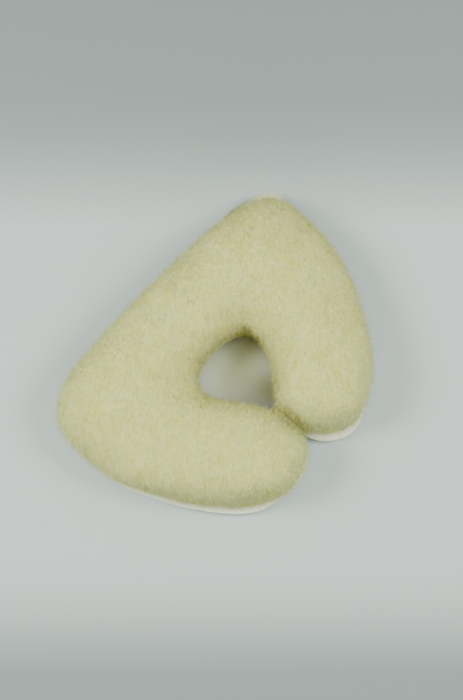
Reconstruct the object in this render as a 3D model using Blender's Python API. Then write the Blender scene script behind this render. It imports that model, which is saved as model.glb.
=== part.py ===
"""Crescent pillow: a filled fleece crescent whose arms close in front, on a woven base panel.

The frame is the pillow's own: it lies on its base at z = 0, +Z up, with the back edge
towards +Y and the slit between the arms towards -Y. Lengths are in metres once a mesh is
made; the sizes below are in millimetres.
"""
import math
from collections import namedtuple

import bmesh
import bpy
from mathutils import Matrix, Vector

MM = 0.001

# Driving dimensions, in millimetres
CROWN_HEIGHT = 88.0
CLOTH = 1.5
SEAM_HEIGHT = 14.0
RIM_HEIGHT = 7.0
RIM_TURN = 14.0
SEAM_ALLOWANCE = 3.0
SEAM_SET_BACK = 2.0
SEAM_TUCK = 6.0
RIM_SHOWN = 6.0
RIM_HIDDEN = -5.0
CLEARANCE = 0.3

# How finely the outline and its cross-sections are stepped
STEPS_PER_SECTION = 4
CROWN_STEPS = 7
SIDE_STEPS = 3
RIM_STEPS = 2

FLEECE_COLOUR = (0.60, 0.58, 0.38, 1.0)
BASE_COLOUR = (0.68, 0.68, 0.60, 1.0)

# An edge point is where a side is widest: x, y, its height z, and how far the base panel's
# rim stands out past it (below zero, the rim is tucked under). A crown point is x, y and
# the height below the highest crown. Fullness is the power of the rounded top: 2 is an
# ellipse, less is a flatter wedge.
Edge = namedtuple("Edge", "x y z rim")
Crown = namedtuple("Crown", "x y drop")
Section = namedtuple("Section", "outer inner crown fullness")

# One row for each section across the crescent, from the left arm's tip round the back to
# the right arm's tip
SECTION_TABLE = (
    # outer x, y, z, rim      inner x, y, z, rim       crown x, y, drop    fullness
    ((-50, -127, 33, 3), (-50, -127, 33, 3), (-53, -87, 4), 2.2),
    ((-80, -116, 33, 6), (-21, -120, 34, 3), (-54, -84, 4), 2.2),
    ((-106, -95, 33, 7), (-4.5, -104, 38, 1), (-56, -78, 4), 2.2),
    ((-130, -63, 33, 4), (-3.2, -80, 43, -3), (-59, -68, 3), 2.2),
    ((-151, -26, 34, 1), (-5, -56, 46, -5), (-69, -42, 3), 2.1),
    ((-168, 12, 34, -2), (-22, -25, 45, -5), (-85, -8, 3), 2.0),
    ((-173, 57, 33, -3), (-36, -2, 45, -5), (-96, 28, 2), 1.9),
    ((-165, 99, 29, -2), (-36, 15, 45, -5), (-92, 56, 1), 1.8),
    ((-128, 122.5, 32, -3), (-24, 24.5, 45, -5), (-69, 70, 0), 2.0),
    ((-66, 127.5, 36, -4), (-12, 27, 45, -5), (-35, 73.5, 1), 2.1),
    ((0, 128, 36, -4), (0, 27.5, 45, -5), (0, 74, 2), 2.1),
    ((66, 126, 36, -4), (13, 27, 45, -5), (36, 73, 1), 2.1),
    ((125, 120, 31, 1), (25, 24, 45, -5), (69, 69, 0), 2.0),
    ((166, 102, 27, 3), (36, 16, 45, -5), (92, 55, 1), 1.8),
    ((173, 60, 32, -2), (35, -4, 45, -5), (96, 28, 2), 1.9),
    ((166, 9, 34, -3), (21, -28, 45, -5), (84, -10, 3), 2.0),
    ((149, -33, 34, -3), (-1, -56, 46, -5), (64, -45, 3), 2.1),
    ((127, -67, 33, -2), (-0.8, -77, 43, -3), (53, -70, 3), 2.2),
    ((104, -97, 33, 0), (4, -97, 37, 3), (49, -79, 4), 2.2),
    ((76, -117, 33, 3), (20, -115.5, 33, 6), (46, -85, 4), 2.2),
    ((46, -126.5, 33, 5), (46, -126.5, 33, 5), (45, -88, 4), 2.2),
)


def clear_scene():
    for item in list(bpy.data.objects):
        bpy.data.objects.remove(item, do_unlink=True)


def read_sections():
    sections = []
    for outer, inner, crown, fullness in SECTION_TABLE:
        sections.append(Section(Edge(*outer), Edge(*inner), Crown(*crown), fullness))
    return sections


def through(before, start, end, after, part):
    """A smooth value between start and end that also heeds the values on either side."""
    square = part * part
    cube = square * part
    return 0.5 * (2 * start + (end - before) * part
                  + (2 * before - 5 * start + 4 * end - after) * square
                  + (3 * start - before - 3 * end + after) * cube)


def between(rows, place, closed):
    """The row at a fractional place in a list of rows, each a tuple of numbers."""
    count = len(rows)
    first = math.floor(place)
    part = place - first

    def row(index):
        if closed:
            return rows[index % count]
        return rows[min(max(index, 0), count - 1)]

    around = [row(first + step) for step in (-1, 0, 1, 2)]
    return tuple(through(*values, part) for values in zip(*around))


class Station:
    """One place on the outline, tied to its crown point, with its rim and fullness."""

    def __init__(self, edge, crown, fullness, spine):
        x, y, self.wide_z, self.rim = edge
        self.edge = Vector((x, y))
        self.crown = Vector(crown[:2])
        self.crown_z = CROWN_HEIGHT - crown[2]
        self.fullness = fullness
        self.spine = spine
        self.outward = (self.edge - self.crown).normalized()
        hidden = (RIM_SHOWN - self.rim) / (RIM_SHOWN - RIM_HIDDEN)
        self.seam = -SEAM_SET_BACK - SEAM_TUCK * hidden
        self.lip = self.seam - SEAM_ALLOWANCE

    def at(self, out, z):
        """The point that lies out millimetres past the edge, at height z."""
        spot = self.edge + self.outward * out
        return Vector((spot.x, spot.y, z)) * MM

    def over(self, angle):
        """A point of the rounded top, from the crown at 0 to the edge at a right angle."""
        power = 2.0 / self.fullness
        spot = self.crown.lerp(self.edge, math.sin(angle) ** power)
        rise = (self.crown_z - self.wide_z) * math.cos(angle) ** power
        return Vector((spot.x, spot.y, self.wide_z + rise)) * MM


def lay_stations(sections):
    """The stations once round the outline: outer side, right tip, inner side, left tip."""
    last = len(sections) - 1
    outer = [section.outer for section in sections]
    inner = [section.inner for section in sections[last - 1:0:-1]]
    loop = outer + inner
    crowns = [tuple(section.crown) + (section.fullness,) for section in sections]
    stations = []
    for step in range(len(loop) * STEPS_PER_SECTION):
        place = step / STEPS_PER_SECTION
        spine = min(step, 2 * last * STEPS_PER_SECTION - step)
        *crown, fullness = between(crowns, spine / STEPS_PER_SECTION, closed=False)
        stations.append(Station(between(loop, place, closed=True), crown, fullness, spine))
    return stations


def quarter(steps):
    """Angles that step through a quarter turn, without its start and with its end."""
    return [0.5 * math.pi * step / steps for step in range(1, steps + 1)]


def rim_arc(station, inset, lower):
    """Points of the rolled rim from the seam round to the floor, inset from its outside.

    The upper quarter runs from the seam to the rim's outermost line, and the lower one
    from there to where the panel lies flat. Lower is how far the arc's end lies above
    the floor.
    """
    outermost = station.rim - inset
    top = SEAM_HEIGHT - inset
    points = [station.at(station.seam, top)]
    for angle in quarter(RIM_STEPS):
        out = station.seam + (outermost - station.seam) * math.sin(angle)
        z = RIM_HEIGHT + (top - RIM_HEIGHT) * math.cos(angle)
        points.append(station.at(out, z))
    flat_from = station.rim - RIM_TURN
    for angle in quarter(RIM_STEPS):
        out = flat_from + (outermost - flat_from) * math.cos(angle)
        z = RIM_HEIGHT - (RIM_HEIGHT - lower) * math.sin(angle)
        points.append(station.at(out, z))
    return points


def fleece_profile(station):
    """The filled body's section at a station, from beside its crown to its underside."""
    points = [station.over(angle) for angle in quarter(CROWN_STEPS)]
    seam_z = SEAM_HEIGHT + CLEARANCE
    for angle in quarter(SIDE_STEPS):
        out = station.seam * (1.0 - math.cos(angle))
        z = station.wide_z - (station.wide_z - seam_z) * math.sin(angle)
        points.append(station.at(out, z))
    lip_end = station.lip - CLEARANCE
    under_lip = SEAM_HEIGHT - CLOTH - CLEARANCE
    points.append(station.at(lip_end, seam_z))
    points.append(station.at(lip_end, under_lip))
    points.extend(rim_arc(station, CLOTH + CLEARANCE, CLOTH + CLEARANCE))
    return points


def base_profile(station):
    """The base panel's section: its upper face out to the lip, and its outside back in."""
    inside = rim_arc(station, CLOTH, CLOTH)
    inside.reverse()
    lip_under = station.at(station.lip, SEAM_HEIGHT - CLOTH)
    lip_top = station.at(station.lip, SEAM_HEIGHT)
    return inside + [lip_under, lip_top] + rim_arc(station, 0.0, 0.0)


def skin(name, stations, profile, top_z, bottom_z, material):
    """A closed body: one profile for each station, closed on the crown line at both ends.

    The outer and the inner side share the points of the crown line. top_z gives the
    height of that line on the upper face, and bottom_z on the lower one.
    """
    mesh_maker = bmesh.new()
    columns = []
    upper_line = {}
    lower_line = {}
    for station in stations:
        if station.spine not in upper_line:
            x, y = station.crown * MM
            upper_line[station.spine] = mesh_maker.verts.new((x, y, top_z(station) * MM))
            lower_line[station.spine] = mesh_maker.verts.new((x, y, bottom_z * MM))
        column = [upper_line[station.spine]]
        column += [mesh_maker.verts.new(point) for point in profile(station)]
        column.append(lower_line[station.spine])
        columns.append(column)
    for index, column in enumerate(columns):
        following = columns[(index + 1) % len(columns)]
        for row in range(len(column) - 1):
            corners = (column[row], column[row + 1], following[row + 1], following[row])
            mesh_maker.faces.new(corners)
    bmesh.ops.recalc_face_normals(mesh_maker, faces=mesh_maker.faces[:])
    mesh = bpy.data.meshes.new(name)
    mesh_maker.to_mesh(mesh)
    mesh_maker.free()
    mesh.materials.append(material)
    mesh.shade_smooth()
    mesh.set_sharp_from_angle(angle=math.radians(60.0))
    body = bpy.data.objects.new(name, mesh)
    bpy.context.scene.collection.objects.link(body)
    return body


def cloth_material(name, colour, roughness):
    material = bpy.data.materials.new(name)
    material.use_nodes = True
    shader = material.node_tree.nodes["Principled BSDF"]
    shader.inputs["Base Color"].default_value = colour
    shader.inputs["Roughness"].default_value = roughness
    shader.inputs["Metallic"].default_value = 0.0
    material.diffuse_color = colour
    return material


def build_fleece(stations):
    material = cloth_material("cream_fleece", FLEECE_COLOUR, 0.95)
    underside = CLOTH + CLEARANCE
    return skin("fleece_pillow", stations, fleece_profile,
                lambda station: station.crown_z, underside, material)


def build_base(stations):
    material = cloth_material("woven_base", BASE_COLOUR, 0.9)
    return skin("base_panel", stations, base_profile,
                lambda station: CLOTH, 0.0, material)


def centre_on_floor(bodies):
    """Move the bodies so that the origin is the middle of their box's underside."""
    corners = [vertex.co for body in bodies for vertex in body.data.vertices]
    low = [min(corner[axis] for corner in corners) for axis in range(3)]
    high = [max(corner[axis] for corner in corners) for axis in range(3)]
    middle = Vector(((low[0] + high[0]) / 2, (low[1] + high[1]) / 2, low[2]))
    for body in bodies:
        body.data.transform(Matrix.Translation(-middle))


def main():
    clear_scene()
    stations = lay_stations(read_sections())
    centre_on_floor([build_fleece(stations), build_base(stations)])


main()
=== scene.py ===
"""Looks of the crescent pillow: a deep cream pile on its face, and a rolled woven base panel."""
import math

import bmesh
import bpy
import numpy as np
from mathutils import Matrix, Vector, bvhtree, kdtree, noise


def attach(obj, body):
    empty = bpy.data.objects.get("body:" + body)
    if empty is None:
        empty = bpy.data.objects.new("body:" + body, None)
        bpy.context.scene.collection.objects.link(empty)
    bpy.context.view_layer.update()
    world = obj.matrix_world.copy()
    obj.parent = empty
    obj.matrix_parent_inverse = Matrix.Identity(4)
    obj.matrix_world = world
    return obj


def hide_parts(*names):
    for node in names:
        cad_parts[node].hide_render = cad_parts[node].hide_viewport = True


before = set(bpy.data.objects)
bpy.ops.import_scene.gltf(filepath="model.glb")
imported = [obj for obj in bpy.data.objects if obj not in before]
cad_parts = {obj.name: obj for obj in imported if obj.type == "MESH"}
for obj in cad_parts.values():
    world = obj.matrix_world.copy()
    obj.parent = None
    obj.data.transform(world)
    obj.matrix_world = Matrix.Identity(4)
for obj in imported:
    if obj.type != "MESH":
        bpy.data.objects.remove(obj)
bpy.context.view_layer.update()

MM = 0.001
SEED = 20

# Camera: where it looks on the floor, and from where
VIEW_TARGET = Vector((18.1, 25.2, 0.0)) * MM
VIEW_AZIMUTH = math.radians(-47.0)
VIEW_ELEVATION = math.radians(77.0)
VIEW_DISTANCE = 1.472
LENS = 72.0
SENSOR = 36.0

# Pile, in millimetres: a thick nap of blades, and long thin fuzz that stands past it
PILE_DEPTH = 7.2
PILE_DEPTH_AT_SEAM = 2.4
NAP_INSET = 3.8
NAP_INSET_AT_SEAM = 1.4
SEAM_Z = 14.0
FULL_PILE_Z = 28.0
BLADE_COUNT = 180000
BLADE_WIDTH = 0.7
BLADE_RISE = (-0.9, 0.4)
HAIR_COUNT = 260000
HAIR_WIDTH = 0.24
HAIR_RISE = 1.6
HAIR_MOST = 6.4
LEAN = 3.6
BODY_SHARE_OF_NORMAL = 0.68

# How far above the seam the pile starts, how much lower that is in the hole, and how far down it may face
PILE_ABOVE_SEAM = 2.5
LOWER_IN_HOLE = 6.0
LOWEST_FACING = -0.85

# The body inside the panel: below this height it is drawn in by so much, and lifted by this share
IN_PANEL_Z = 7.0
BODY_INSET_IN_PANEL = 14.0
BODY_LIFT_IN_PANEL = 0.35

# Locks: how many, how long for their width, how far they stand out and tilt, and how the nap is brushed
LOCK_COUNT = 14000
LOCK_STRETCH = 2.2
LOCK_RELIEF = 0.35
LOCK_TILT = 0.17
DROOP_AT_SEAM = 1.8
SWIRLS_PER_METRE = 30.0
RANDOM_LEAN = 0.35
BRUSHED_LEAN = 0.5
SAG = np.array([0.0, 0.0, -0.5])
SHARE_OF_LEAN = 0.7
GATHER = 0.15
GATHER_AT_SEAM = 0.4
BRUSHED = Vector((-0.73, -0.68, -0.8)).normalized()
SPECK_COUNT = 160
SPECK_HALF_LENGTH = 3.0
SPECK_HALF_WIDTH = 0.9
# Layers of the body under the pile: a middling tint, a little of the painted shade towards the roots, and
# none of the painted shade in the hole or on steep sides
BODY_LAYERS = {"tint": 0.6, "along": 0.4, "deep": 0.0, "painted_side_shade": 0.0}
PILE_PIECES = ("left_arm", "left_corner", "back", "right_corner", "right_arm")
BLADE_FACES = ((0, 1, 2, 3), (3, 2, 4))
HAIR_FACES = ((0, 1, 2),)

# The neck hole: its middle, how near to it its wall is, and how squarely the wall faces it
HOLE_MIDDLE = Vector((0.0, 5.0)) * MM
HOLE_WALL_WITHIN = (0.045, 0.075)
HOLE_WALL_FACING = (0.2, 0.8)

# Heights in metres between which the painted shade on the hole's wall fades out going up, and the painted
# shade on steep sides fades in
RECESS_SHADE_BELOW = (0.030, 0.050)
SIDE_SHADE_ABOVE = (0.012, 0.036)

# The panel's rim: its widest height, and how far it is drawn back, lifted and cut in below
RIM_Z = 7.0
RIM_EDGE_WITHIN = 1.0
OUTER_SIDE_FROM_PILE = 1.1
TUCK_AT_HOLE = 8.0
RIM_LIFT = 2.5
UNDERCUT = 5.0

# Distances in metres from the rim's edge over which each of these fades
DRAWN_WITHIN = (0.010, 0.030)
UNDERCUT_WITHIN = (0.006, 0.018)
LIFTED_WITHIN = (0.004, 0.012)

# Places on the rim that are drawn back further, or out, and lifted: place, radius, back and up
RIM_PLACES = ((Vector((5.0, -60.0)) * MM, 28.0, 3.0, 0.0),
              (Vector((-92.0, -106.0)) * MM, 72.0, 3.6, 2.5),
              (Vector((-40.0, -118.0)) * MM, 52.0, 4.5, 0.0),
              (Vector((75.0, -115.0)) * MM, 50.0, 3.5, 0.0),
              (Vector((148.0, 121.0)) * MM, 60.0, -5.0, 8.5))

# Places on the sides that are drawn back from the outline of the solids: place, radius and how far
DRAWN_BACK = ((Vector((-92.0, -106.0)) * MM, 80.0, 1.6), (Vector((-30.0, -110.0)) * MM, 30.0, 1.2))

# The slit between the arms, where the pile of both sides meets
SLIT_X = 0.0
SLIT_REACH = 45.0
SLIT_BACK = -20.0
WIDEST_MEETING = 12.0
FULL_MEETING = 4.0
LONGEST_REACH = 3.0

# Corners of the hole where the lower pile hangs into it: place, radius and how far it hangs
HANGING_BELOW = (0.022, 0.045)
HANGING = ((Vector((38.0, 20.0)) * MM, 16.0, 3.5), (Vector((4.0, -40.0)) * MM, 14.0, 3.0))

# Floor: its size, its colour, and its painted shade at distances in metres behind the place looked at,
# where the light falls off far behind and at the front
FLOOR_HALF = 4.0
SHADES_REACH = 0.4
FLOOR_COLOUR = (0.445, 0.52, 0.48)
FLOOR_SHADES = ((-0.333, 0.46), (-0.304, 0.60), (-0.274, 0.80), (-0.243, 0.95), (-0.214, 1.0),
                (0.138, 1.0), (0.175, 0.80), (0.206, 0.65), (0.240, 0.53), (0.280, 0.47),
                (0.383, 0.45))

# Inside the neck hole the floor is lit by the pile: painted shade near two of its walls and painted
# yellow bounce light over its middle; place, radius in metres, and colour
HOLE_SHADES = (((0.042, 0.020), 0.040, (0.52, 0.45, 0.23)),
               ((0.014, -0.034), 0.042, (0.38, 0.34, 0.21)),
               ((0.005, 0.005), 0.062, (1.28, 1.14, 0.76)))

# Lamps: name, azimuth and elevation of the light's way in degrees, size, and power
LAMP_DISTANCE = 2.4
LAMPS = (("left", -133.0, 48.0, 1.0, 58.0),
         ("right", 42.0, 50.0, 1.0, 48.0),
         ("top", -47.0, 82.0, 1.3, 22.0),
         ("near", -47.0, 22.0, 1.4, 15.0))
WORLD_COLOUR = (0.93, 1.0, 0.95, 1.0)
WORLD_STRENGTH = 0.38


def new_object(name, mesh):
    item = bpy.data.objects.new(name, mesh)
    bpy.context.scene.collection.objects.link(item)
    return item


def unit(rows):
    """Each row of an array as a unit vector."""
    return rows / np.maximum(np.linalg.norm(rows, axis=1, keepdims=True), 1e-12)


def smooth_step(values, low, high):
    part = np.clip((values - low) / (high - low), 0.0, 1.0)
    return part * part * (3.0 - 2.0 * part)


def refined_mesh(node, name, levels):
    """A copy of a CAD node's mesh, in quads and subdivided, as a new mesh."""
    maker = bmesh.new()
    maker.from_mesh(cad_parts[node].data)
    bmesh.ops.remove_doubles(maker, verts=maker.verts[:], dist=1e-5)
    bmesh.ops.join_triangles(maker, faces=maker.faces[:], angle_face_threshold=math.pi,
                             angle_shape_threshold=math.pi)
    coarse = bpy.data.meshes.new(name + "_coarse")
    maker.to_mesh(coarse)
    maker.free()
    holder = new_object(name + "_holder", coarse)
    divide = holder.modifiers.new("divide", "SUBSURF")
    divide.levels = levels
    divide.render_levels = levels
    evaluated = holder.evaluated_get(bpy.context.evaluated_depsgraph_get())
    mesh = bpy.data.meshes.new_from_object(evaluated)
    mesh.name = name
    bpy.data.objects.remove(holder)
    bpy.data.meshes.remove(coarse)
    return mesh


def points_of(mesh):
    flat = np.zeros(len(mesh.vertices) * 3, np.float32)
    mesh.vertices.foreach_get("co", flat)
    return flat.reshape(-1, 3).astype(float)


def normals_of(mesh):
    flat = np.zeros(len(mesh.vertices) * 3, np.float32)
    mesh.vertex_normals.foreach_get("vector", flat)
    return flat.reshape(-1, 3).astype(float)


def triangles_of(mesh):
    mesh.calc_loop_triangles()
    flat = np.zeros(len(mesh.loop_triangles) * 3, np.int32)
    mesh.loop_triangles.foreach_get("vertices", flat)
    return flat.reshape(-1, 3)


def set_points(mesh, points):
    mesh.vertices.foreach_set("co", points.astype(np.float32).ravel())
    mesh.update()


def set_layer(mesh, name, values):
    """A number for each point of the mesh, which its material reads."""
    layer = mesh.attributes.new(name, "FLOAT", "POINT")
    layer.data.foreach_set("value", values.astype(np.float32))


def pile_share(points):
    """0 along the seam, where the pile is short, and 1 where it is full."""
    return smooth_step(points[:, 2], SEAM_Z * MM, FULL_PILE_Z * MM)


def pile_depth(points):
    """How deep the pile is, from its outermost fibres down to the body."""
    return (PILE_DEPTH_AT_SEAM + (PILE_DEPTH - PILE_DEPTH_AT_SEAM) * pile_share(points)) * MM


def nap_inset(points):
    """How far below the outermost fibres the thick of the pile ends."""
    return (NAP_INSET_AT_SEAM + (NAP_INSET - NAP_INSET_AT_SEAM) * pile_share(points)) * MM


def scatter(points, normals, triangles, count, rng):
    """Random places on a surface, even over its area, with the normals there."""
    a, b, c = (points[triangles[:, corner]] for corner in range(3))
    area = np.linalg.norm(np.cross(b - a, c - a), axis=1)
    chosen = rng.choice(len(triangles), size=count, p=area / area.sum())
    root = np.sqrt(rng.random(count))[:, None]
    share = rng.random(count)[:, None]
    weights = np.hstack([1.0 - root, root * (1.0 - share), root * share])
    corners = triangles[chosen]
    place = sum(weights[:, k:k + 1] * points[corners[:, k]] for k in range(3))
    normal = sum(weights[:, k:k + 1] * normals[corners[:, k]] for k in range(3))
    return place, unit(normal)


def nearest(centres, places):
    tree = kdtree.KDTree(len(centres))
    for index, centre in enumerate(centres):
        tree.insert(centre, index)
    tree.balance()
    return np.array([tree.find(place)[1] for place in places])


def drawn_back(points, normals):
    """The points, with a few stretches of the sides drawn in a little."""
    amount = np.zeros(len(points))
    for place, radius, back in DRAWN_BACK:
        apart = np.linalg.norm(points[:, :2] - np.array(place), axis=1)
        amount += back * MM * (1.0 - smooth_step(apart, radius * 0.3 * MM, radius * MM))
    return points - normals * [1.0, 1.0, 0.0] * amount[:, None]


def face_surface():
    """The pile's outer surface: points, normals and the triangles that carry pile."""
    mesh = refined_mesh("fleece_pillow", "pile_surface", 2)
    normals = normals_of(mesh)
    points = drawn_back(points_of(mesh), normals)
    triangles = triangles_of(mesh)
    bpy.data.meshes.remove(mesh)
    middle = points[triangles].mean(axis=1)
    facing = normals[triangles].mean(axis=1)
    lowest = (SEAM_Z + PILE_ABOVE_SEAM - LOWER_IN_HOLE * toward_hole(middle, unit(facing))) * MM
    carries = (middle[:, 2] > lowest) & (facing[:, 2] > LOWEST_FACING)
    return points, normals, triangles[carries]


def make_body(material):
    """The filled body under the pile."""
    mesh = refined_mesh("fleece_pillow", "pillow_body", 1)
    normals = normals_of(mesh)
    points = drawn_back(points_of(mesh), normals)
    below = 1.0 - smooth_step(points[:, 2], IN_PANEL_Z * MM, SEAM_Z * MM)
    points = points - normals * [1.0, 1.0, 0.0] * (BODY_INSET_IN_PANEL * MM * below)[:, None]
    points = points - normals * pile_depth(points)[:, None]
    points[:, 2] += np.maximum(SEAM_Z * MM - points[:, 2], 0.0) * BODY_LIFT_IN_PANEL
    set_points(mesh, points)
    for name, value in BODY_LAYERS.items():
        set_layer(mesh, name, np.full(len(points), value))
    mesh.shade_smooth()
    mesh.materials.clear()
    mesh.materials.append(material)
    body = new_object("pillow_body", mesh)
    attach(body, "root")
    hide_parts("fleece_pillow")


def strand_mesh(name, corners, faces, shading, layers):
    """One mesh of many like strands, from each one's corners, with the normals to shade it by."""
    count, size = corners.shape[:2]
    first = np.arange(count)[:, None] * size
    around = np.concatenate([(first + np.array(face)).ravel() for face in faces])
    lengths = np.repeat([len(face) for face in faces], count)
    mesh = bpy.data.meshes.new(name)
    mesh.vertices.add(count * size)
    mesh.vertices.foreach_set("co", corners.astype(np.float32).ravel())
    mesh.loops.add(len(around))
    mesh.loops.foreach_set("vertex_index", around.astype(np.int32))
    mesh.polygons.add(len(lengths))
    mesh.polygons.foreach_set("loop_start", (np.cumsum(lengths) - lengths).astype(np.int32))
    mesh.update(calc_edges=True)
    mesh.shade_smooth()
    normals = mesh.attributes.new("custom_normal", "FLOAT_VECTOR", "POINT")
    normals.data.foreach_set("vector", np.repeat(shading, size, axis=0).astype(np.float32).ravel())
    for key, values in layers.items():
        set_layer(mesh, key, np.repeat(values, size))
    return mesh


def tangential(vectors, normals):
    """The part of each vector that lies along the surface."""
    return vectors - normals * (vectors * normals).sum(axis=1, keepdims=True)


def meeting(points, triangles, places, normals):
    """Where pile faces pile over a narrow gap: how close it is, from 0 to 1, and how far to reach."""
    tree = bvhtree.BVHTree.FromPolygons(points.tolist(), triangles.tolist())
    close = np.zeros(len(places))
    reach = np.zeros(len(places))
    near = (np.abs(places[:, 0] - SLIT_X * MM) < SLIT_REACH * MM) & (places[:, 1] < SLIT_BACK * MM)
    for index in np.flatnonzero(near & (np.abs(normals[:, 2]) < 0.8)):
        start = Vector(places[index]) + Vector(normals[index]) * 0.2 * MM
        distance = tree.ray_cast(start, Vector(normals[index]), WIDEST_MEETING * MM)[3]
        if distance is not None:
            close[index] = 1.0 - smooth_step(distance, FULL_MEETING * MM, WIDEST_MEETING * MM)
            reach[index] = min(distance * 0.5, LONGEST_REACH * MM)
    return close[:, None], reach[:, None]


def toward_hole(places, normals):
    """From 0 to 1, how much pile stands on the wall of the neck hole."""
    inward = np.array(HOLE_MIDDLE) - places[:, :2]
    faces = (unit(inward) * normals[:, :2]).sum(axis=1)
    close = 1.0 - smooth_step(np.linalg.norm(inward, axis=1), *HOLE_WALL_WITHIN)
    return smooth_step(faces, *HOLE_WALL_FACING) * close


def hanging(places):
    """How far the lower pile in the hole's corners hangs into it."""
    low = 1.0 - smooth_step(places[:, 2], *HANGING_BELOW)
    length = np.zeros(len(places))
    for corner, radius, most in HANGING:
        apart = np.linalg.norm(places[:, :2] - np.array(corner), axis=1)
        length += most * MM * (1.0 - smooth_step(apart, radius * 0.4 * MM, radius * MM)) * low
    return length


def speckled(places, centres, streaks):
    """True for pile in one of the few long specks of a deeper yellow."""
    speck = nearest(centres, places)
    offset = places - centres[speck]
    length = (offset * streaks[speck]).sum(axis=1)
    across = np.linalg.norm(offset - streaks[speck] * length[:, None], axis=1)
    return (length / SPECK_HALF_LENGTH) ** 2 + (across / SPECK_HALF_WIDTH) ** 2 < MM ** 2


def brushed_places(places):
    """Places drawn together along the way the nap is brushed, so that what is near is a long lock."""
    way = np.array(BRUSHED)
    return places - np.outer(places @ way, way) * (1.0 - 1.0 / LOCK_STRETCH)


def strand_places(surface, locks, count, rng):
    """Where strands stand on the face: the normal, their lock, the pile's depth and what is near."""
    points, normals, triangles = surface
    place, normal = scatter(points, normals, triangles, count, rng)
    close, reach = meeting(points, triangles, place, normal)
    return {"place": place, "normal": normal, "close": close, "reach": reach,
            "lock": nearest(brushed_places(locks["place"]), brushed_places(place)),
            "depth": pile_depth(place)[:, None],
            "inset": nap_inset(place)[:, None] * (1.0 - close),
            "near_seam": 1.0 - pile_share(place)[:, None]}


def strand_tips(at, locks, rises, leaning, rng):
    """Each strand's tip, and the way it leans."""
    place, normal, lock, near_seam = at["place"], at["normal"], at["lock"], at["near_seam"]
    lean = locks["lean"][lock] * SHARE_OF_LEAN + rng.normal(size=place.shape) * SHARE_OF_LEAN
    lean = tangential(lean, normal) * LEAN * MM * leaning
    gather = tangential(locks["place"][lock] - place, normal) * (GATHER + GATHER_AT_SEAM * near_seam)
    rise = rises[:, None] * MM + locks["rise"][lock] - at["inset"] + at["reach"] * at["close"]
    tip = place + lean * (1.0 - 0.5 * near_seam) + gather + normal * rise
    hang = hanging(place) * rng.uniform(0.5, 1.0, len(place))
    tip = tip + unit(normal * [1.0, 1.0, 0.2]) * hang[:, None]
    droop = np.maximum(locks["random"][lock][:, 0], 0.0) * near_seam[:, 0] * DROOP_AT_SEAM * MM
    return tip - np.outer(droop, [0.0, 0.0, 1.0]), lean


def strand_layers(at, locks, rng):
    """The numbers that colour each strand: its tint, its painted shade by how deep in the hole or slit it
    is, and its painted shade on steep sides.
    """
    place, normal, lock = at["place"], at["normal"], at["lock"]
    tint = 0.1 + 0.9 * (locks["tint"][lock] * 0.6 + rng.random(len(place)) * 0.4)
    tint = np.where(speckled(place, locks["specks"], locks["streak"]), 0.0, tint)
    # Painted shade: the pile on the hole's wall, most of all low down, and in the slit is deeper yellow
    # and darker, as if shaded between the walls
    low = 1.0 - smooth_step(place[:, 2], *RECESS_SHADE_BELOW)
    deep = toward_hole(place, normal) * (0.3 + 0.7 * low)
    # Painted shade: the pile on steep sides above the seam is darker and greyer, as if lit less than the
    # crown, more on some locks than others
    steep = (1.0 - smooth_step(normal[:, 2], -0.1, 1.0)) * smooth_step(place[:, 2], *SIDE_SHADE_ABOVE)
    return {"tint": tint, "deep": np.maximum(deep, 0.5 * at["close"][:, 0]),
            "painted_side_shade": steep * (0.45 + 1.0 * locks["tint"][lock])}


def grow(surface, locks, count, rises, leaning, rng):
    """Strands over the pile's face: root, middle and tip, side, shading and colour layers."""
    at = strand_places(surface, locks, count, rng)
    place, normal, depth = at["place"], at["normal"], at["depth"]
    tip, lean = strand_tips(at, locks, rises, leaning, rng)
    root = place - normal * depth - lean * 0.3
    middle = root + (tip - root) * 0.45 + normal * (depth - at["inset"]) * 0.25
    middle = middle + rng.normal(scale=0.3 * MM, size=place.shape)
    along = unit(tip - middle)
    side = unit(np.cross(along, normal + 0.5 * rng.normal(size=place.shape)))
    side = side * np.sign((np.cross(side, along) * normal).sum(axis=1, keepdims=True))
    shading = normal * BODY_SHARE_OF_NORMAL + np.cross(side, along) * (1.0 - BODY_SHARE_OF_NORMAL)
    shading = unit(shading + tangential(locks["random"][at["lock"]], normal) * LOCK_TILT)
    return {"root": root, "middle": middle, "tip": tip, "side": side, "shading": shading,
            "place": place, "layers": strand_layers(at, locks, rng)}


def make_locks(surface, rng):
    """The locks that the pile lies in: their places, and how each one leans, stands and is tinted."""
    place, normal = scatter(*surface, LOCK_COUNT, rng)
    random = rng.normal(size=place.shape)
    swirl = np.array([noise.noise_vector(Vector(point) * SWIRLS_PER_METRE) for point in place])
    brushed = np.array(BRUSHED)
    lean = swirl + random * RANDOM_LEAN + brushed * BRUSHED_LEAN + SAG
    chosen = rng.choice(LOCK_COUNT, size=SPECK_COUNT, replace=False)
    streak = brushed + rng.normal(scale=0.5, size=(SPECK_COUNT, 3))
    return {"place": place, "random": random, "lean": tangential(lean, normal),
            "rise": rng.uniform(-LOCK_RELIEF, LOCK_RELIEF, (LOCK_COUNT, 1)) * MM,
            "tint": rng.random(LOCK_COUNT), "specks": place[chosen],
            "streak": unit(tangential(streak, normal[chosen]))}


def round_the_hole(places):
    """The order of places as they go round the neck hole, in as many shares as there are pieces."""
    offset = places[:, :2] - np.array(HOLE_MIDDLE)
    turn = np.arctan2(-offset[:, 0], -offset[:, 1])
    return np.array_split(np.argsort(-turn, kind="stable"), len(PILE_PIECES))


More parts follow.
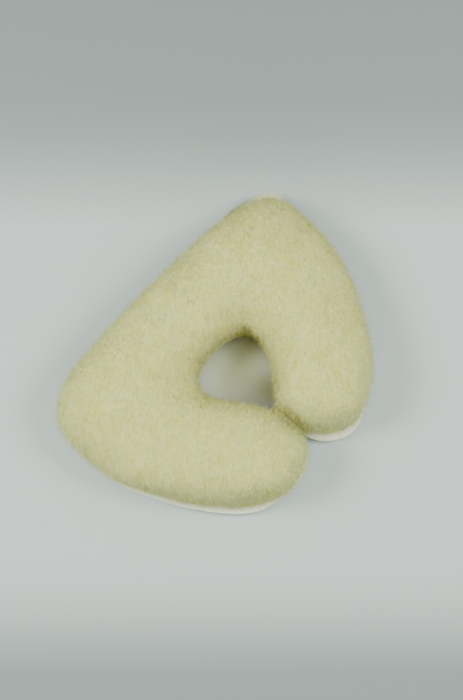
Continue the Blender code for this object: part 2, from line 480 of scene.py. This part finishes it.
def add_strands(kind, rows, corners, faces, along, material):
    """The strands as one piece for each stretch of the pillow."""
    for name, chosen in zip(PILE_PIECES, round_the_hole(rows["place"])):
        layers = {key: values[chosen] for key, values in rows["layers"].items()}
        mesh = strand_mesh(kind + "_" + name, corners[chosen], faces, rows["shading"][chosen], layers)
        # How far along each strand each corner lies, for the painted shade towards the roots
        set_layer(mesh, "along", np.tile(along, len(chosen)))
        mesh.materials.append(material)
        piece = new_object(kind + "_" + name, mesh)
        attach(piece, "root")


def make_pile(material):
    """The nap, of blades with a broad middle, and the fuzz, of thin straight hairs."""
    rng = np.random.default_rng(SEED)
    noise.seed_set(SEED)
    surface = face_surface()
    locks = make_locks(surface, rng)

    rises = rng.uniform(*BLADE_RISE, BLADE_COUNT)
    rows = grow(surface, locks, BLADE_COUNT, rises, 1.0, rng)
    half = rows["side"] * (BLADE_WIDTH * MM / 2.0)
    root, middle, tip = rows["root"], rows["middle"], rows["tip"]
    corners = np.stack([root - half * 0.6, root + half * 0.6, middle + half, middle - half, tip], axis=1)
    add_strands("pile", rows, corners, BLADE_FACES, [0.0, 0.0, 0.6, 0.6, 1.0], material)

    rises = np.minimum(rng.exponential(HAIR_RISE, HAIR_COUNT), HAIR_MOST)
    rows = grow(surface, locks, HAIR_COUNT, rises, 0.8, rng)
    half = rows["side"] * (HAIR_WIDTH * MM / 2.0)
    corners = np.stack([rows["middle"] - half, rows["middle"] + half, rows["tip"]], axis=1)
    add_strands("fuzz", rows, corners, HAIR_FACES, [0.6, 0.6, 1.0], material)


def outer_side(points):
    """True for points of the panel on its outer side, away from the pile."""
    pile = refined_mesh("fleece_pillow", "near_side", 1)
    tree = bvhtree.BVHTree.FromPolygons(points_of(pile).tolist(), triangles_of(pile).tolist())
    bpy.data.meshes.remove(pile)
    return np.array([tree.find_nearest(point)[3] > OUTER_SIDE_FROM_PILE * MM for point in points])


def rim_edge(points, normals):
    """True for points on the rim's widest line, on the panel's outer side."""
    at_height = np.abs(points[:, 2] - RIM_Z * MM) < RIM_EDGE_WITHIN * MM
    upright = np.hypot(normals[:, 0], normals[:, 1]) > 0.97
    return at_height & upright & outer_side(points)


def rim_changes(places):
    """How far the rim is drawn back, and lifted, at places on its edge."""
    further = np.zeros(len(places))
    raised = np.full(len(places), RIM_LIFT)
    for corner, radius, back, up in RIM_PLACES:
        away = np.linalg.norm(places[:, :2] - np.array(corner), axis=1)
        share = 1.0 - smooth_step(away, radius * 0.3 * MM, radius * MM)
        further += back * share
        raised += up * share
    return further, raised


def tuck_rim(mesh):
    """Draws the rim back under the pile, most round the hole, and lifts its underside off the floor."""
    points = points_of(mesh)
    normals = normals_of(mesh)
    edge = rim_edge(points, normals)
    places = points[edge] * [1.0, 1.0, 0.0]
    outward = unit(normals[edge] * [1.0, 1.0, 0.0])
    flat_points = points * [1.0, 1.0, 0.0]
    found = nearest(places, flat_points)
    apart = np.linalg.norm(flat_points - places[found], axis=1)
    on_wall = toward_hole(places, outward)[found]
    further, raised = rim_changes(places)
    back = further[found] * (1.0 - on_wall) + TUCK_AT_HOLE * on_wall
    back = back * (1.0 - smooth_step(apart, *DRAWN_WITHIN))
    under = 1.0 - smooth_step(points[:, 2], 0.5 * MM, RIM_Z * MM)
    back += UNDERCUT * under * (1.0 - smooth_step(apart, *UNDERCUT_WITHIN))
    points = points - outward[found] * (back * MM)[:, None]
    lift = smooth_step(points[:, 2], 0.0, RIM_Z * MM)
    lift = lift * (1.0 - smooth_step(points[:, 2], RIM_Z * MM, SEAM_Z * MM))
    lift = lift * raised[found] * (1.0 - smooth_step(apart, *LIFTED_WITHIN))
    points[:, 2] += lift * MM
    set_points(mesh, drawn_back(points, normals))


def make_base(material):
    """The woven panel under the pillow, its rim rolled up to the seam."""
    mesh = refined_mesh("base_panel", "woven_base", 2)
    tuck_rim(mesh)
    mesh.shade_smooth()
    mesh.materials.clear()
    mesh.materials.append(material)
    panel = new_object("woven_base", mesh)
    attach(panel, "root")
    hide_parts("base_panel")


class Nodes:
    """A new material's node tree, with short ways to add and join nodes."""

    def __init__(self, name):
        self.material = bpy.data.materials.new(name)
        self.material.use_nodes = True
        self.tree = self.material.node_tree
        self.shader = self.tree.nodes["Principled BSDF"]

    def add(self, kind, **values):
        node = self.tree.nodes.new(kind)
        for key, value in values.items():
            setattr(node, key, value)
        return node

    def join(self, source, target):
        self.tree.links.new(source, target)

    def stretched(self, way, length):
        """Places on the piece, with all that is drawn on them that many times longer one way."""
        where = self.add("ShaderNodeTexCoord")
        turned = self.add("ShaderNodeMapping", vector_type="TEXTURE")
        turned.inputs["Rotation"].default_value = (0.0, -math.asin(way.z), math.atan2(way.y, way.x))
        turned.inputs["Scale"].default_value = (length, 1.0, 1.0)
        self.join(where.outputs["Object"], turned.inputs["Vector"])
        return turned.outputs["Vector"]

    def noise(self, scale, detail, roughness=0.5, where=None):
        node = self.add("ShaderNodeTexNoise")
        node.inputs["Scale"].default_value = scale
        node.inputs["Detail"].default_value = detail
        node.inputs["Roughness"].default_value = roughness
        if where is None:
            where = self.add("ShaderNodeTexCoord").outputs["Object"]
        self.join(where, node.inputs["Vector"])
        return node.outputs["Fac"]

    def attribute(self, name):
        return self.add("ShaderNodeAttribute", attribute_name=name).outputs["Fac"]

    def ramp(self, source, stops):
        node = self.add("ShaderNodeValToRGB")
        elements = node.color_ramp.elements
        while len(elements) < len(stops):
            elements.new(0.5)
        for element, (place, colour) in zip(elements, stops):
            element.position = place
            element.color = (*colour, 1.0)
        self.join(source, node.inputs["Fac"])
        return node.outputs["Color"]

    def blend(self, kind, amount, first, second):
        node = self.add("ShaderNodeMix", data_type="RGBA", blend_type=kind)
        node.inputs["Factor"].default_value = amount
        self.join(first, node.inputs[6])
        self.join(second, node.inputs[7])
        return node.outputs[2]

    def bump(self, height, strength, distance):
        node = self.add("ShaderNodeBump")
        node.inputs["Strength"].default_value = strength
        node.inputs["Distance"].default_value = distance
        self.join(height, node.inputs["Height"])
        self.join(node.outputs["Normal"], self.shader.inputs["Normal"])


def fleece_material():
    nodes = Nodes("cream_fleece")
    tint = nodes.ramp(nodes.attribute("tint"), [
        (0.0, (0.87, 0.85, 0.27)),
        (0.08, (0.87, 0.85, 0.27)),
        (0.1, (0.895, 0.895, 0.40)),
        (1.0, (0.99, 1.0, 0.57)),
    ])
    # Painted shade: each strand is darker and yellower towards its root, as if shaded deep in the pile
    along = nodes.ramp(nodes.attribute("along"), [
        (0.0, (0.95, 0.94, 0.86)),
        (0.7, (1.0, 1.0, 1.0)),
    ])
    patches = nodes.ramp(nodes.noise(95.0, 3.0), [
        (0.3, (0.975, 0.97, 0.72)),
        (0.5, (0.99, 0.985, 0.90)),
        (0.7, (1.0, 1.0, 1.0)),
    ])
    warmth = nodes.ramp(nodes.noise(85.0, 3.0), [
        (0.35, (0.965, 0.995, 0.97)),
        (0.65, (1.0, 0.975, 0.97)),
    ])
    brushed = nodes.stretched(BRUSHED, 3.0)
    streaks = nodes.ramp(nodes.noise(380.0, 2.0, where=brushed), [
        (0.3, (0.875, 0.88, 0.775)),
        (0.5, (0.985, 0.985, 0.95)),
        (0.7, (1.0, 1.0, 1.0)),
    ])
    # Painted shade on steep sides: darker and greyer
    painted_side_shade = nodes.ramp(nodes.attribute("painted_side_shade"), [
        (0.0, (1.0, 1.0, 1.0)),
        (1.0, (0.83, 0.86, 0.96)),
    ])
    # Painted shade on the hole's wall and in the slit: darker, with the yellow of light thrown between
    # the walls
    deep = nodes.ramp(nodes.attribute("deep"), [
        (0.0, (1.0, 1.0, 1.0)),
        (0.5, (0.99, 0.97, 0.86)),
        (1.0, (0.98, 0.93, 0.66)),
    ])
    colour = nodes.blend("MULTIPLY", 1.0, tint, along)
    for shade in (patches, warmth, streaks, painted_side_shade, deep):
        colour = nodes.blend("MULTIPLY", 1.0, colour, shade)
    nodes.join(colour, nodes.shader.inputs["Base Color"])
    nodes.shader.inputs["Roughness"].default_value = 0.95
    nodes.shader.inputs["Specular IOR Level"].default_value = 0.2
    through = nodes.add("ShaderNodeBsdfTranslucent")
    nodes.join(colour, through.inputs["Color"])
    mixed = nodes.add("ShaderNodeMixShader")
    mixed.inputs["Fac"].default_value = 0.35
    nodes.join(nodes.shader.outputs[0], mixed.inputs[1])
    nodes.join(through.outputs[0], mixed.inputs[2])
    output = nodes.tree.nodes["Material Output"]
    nodes.join(mixed.outputs[0], output.inputs["Surface"])
    return nodes.material


def woven_material():
    nodes = Nodes("woven_base")
    colour = nodes.ramp(nodes.noise(90.0, 4.0), [
        (0.3, (0.62, 0.64, 0.455)),
        (0.7, (0.67, 0.69, 0.505)),
    ])
    nodes.join(colour, nodes.shader.inputs["Base Color"])
    nodes.shader.inputs["Roughness"].default_value = 0.85
    nodes.bump(nodes.noise(1400.0, 2.0), 0.3, 0.0003)
    return nodes.material


def distance_shades(nodes, where):
    """The floor's colour with its painted shade, by how far behind the place looked at it lies."""
    turned = nodes.add("ShaderNodeMapping", vector_type="TEXTURE")
    turned.inputs["Location"].default_value = tuple(VIEW_TARGET)
    turned.inputs["Rotation"].default_value = (0.0, 0.0, VIEW_AZIMUTH)
    nodes.join(where.outputs["Object"], turned.inputs["Vector"])
    apart = nodes.add("ShaderNodeSeparateXYZ")
    nodes.join(turned.outputs["Vector"], apart.inputs["Vector"])
    span = nodes.add("ShaderNodeMapRange")
    span.inputs["From Min"].default_value = -SHADES_REACH
    span.inputs["From Max"].default_value = SHADES_REACH
    nodes.join(apart.outputs["Y"], span.inputs["Value"])
    shades = [(distance / (2.0 * SHADES_REACH) + 0.5, tuple(shade * part for part in FLOOR_COLOUR))
              for distance, shade in FLOOR_SHADES]
    return nodes.ramp(span.outputs["Result"], shades)


def round_shade(nodes, where, place, radius, shade):
    """A soft round patch of painted shade on the floor, which paints light instead where its colour is
    above one.
    """
    apart = nodes.add("ShaderNodeVectorMath", operation="DISTANCE")
    apart.inputs[1].default_value = (*place, 0.0)
    nodes.join(where.outputs["Object"], apart.inputs[0])
    span = nodes.add("ShaderNodeMapRange", interpolation_type="SMOOTHSTEP")
    span.inputs["From Max"].default_value = radius
    nodes.join(apart.outputs["Value"], span.inputs["Value"])
    return nodes.ramp(span.outputs["Result"], [(0.0, shade), (1.0, (1.0, 1.0, 1.0))])


def make_floor():
    """A pale floor with painted shade, a little darker far behind the pillow and at the front, and
    painted shade and bounce light inside the neck hole.
    """
    mesh = bpy.data.meshes.new("floor")
    low, high = -FLOOR_HALF, FLOOR_HALF
    mesh.from_pydata([(low, low, 0), (high, low, 0), (high, high, 0), (low, high, 0)], [], [(0, 1, 2, 3)])
    nodes = Nodes("floor")
    where = nodes.add("ShaderNodeTexCoord")
    pale = distance_shades(nodes, where)
    grain = nodes.ramp(nodes.noise(420.0, 3.0, 0.7), [
        (0.3, (0.975, 0.975, 0.975)),
        (0.7, (1.0, 1.0, 1.0)),
    ])
    colour = nodes.blend("MULTIPLY", 1.0, pale, grain)
    # Painted shade and painted bounce light on the floor inside the neck hole
    for place, radius, shade in HOLE_SHADES:
        colour = nodes.blend("MULTIPLY", 1.0, colour, round_shade(nodes, where, place, radius, shade))
    nodes.join(colour, nodes.shader.inputs["Base Color"])
    nodes.shader.inputs["Roughness"].default_value = 0.9
    mesh.materials.append(nodes.material)
    floor = new_object("floor", mesh)


def toward(azimuth, elevation):
    """A unit vector that looks along that azimuth, down from that elevation."""
    return Vector((-math.sin(azimuth) * math.cos(elevation),
                   math.cos(azimuth) * math.cos(elevation),
                   -math.sin(elevation)))


def aim(item, target, looking, distance):
    item.location = target - looking * distance
    item.rotation_euler = looking.to_track_quat("-Z", "Y").to_euler()


def make_camera():
    camera = bpy.data.objects.new("camera", bpy.data.cameras.new("camera"))
    camera.data.lens = LENS
    camera.data.sensor_width = SENSOR
    aim(camera, VIEW_TARGET, toward(VIEW_AZIMUTH, VIEW_ELEVATION), VIEW_DISTANCE)
    bpy.context.scene.collection.objects.link(camera)
    bpy.context.scene.camera = camera


def make_light(name, azimuth, elevation, size, power):
    lamp = bpy.data.lights.new(name, "AREA")
    lamp.shape = "DISK"
    lamp.size = size
    lamp.energy = power
    item = bpy.data.objects.new(name, lamp)
    aim(item, VIEW_TARGET, toward(math.radians(azimuth), math.radians(elevation)), LAMP_DISTANCE)
    bpy.context.scene.collection.objects.link(item)


def make_lights():
    for name, azimuth, elevation, size, power in LAMPS:
        make_light(name, azimuth, elevation, size, power)
    world = bpy.data.worlds.new("studio")
    world.use_nodes = True
    world.node_tree.nodes["Background"].inputs["Color"].default_value = WORLD_COLOUR
    world.node_tree.nodes["Background"].inputs["Strength"].default_value = WORLD_STRENGTH
    bpy.context.scene.world = world


def main():
    make_camera()
    make_lights()
    make_floor()
    fleece = fleece_material()
    make_body(fleece)
    make_pile(fleece)
    make_base(woven_material())


main()
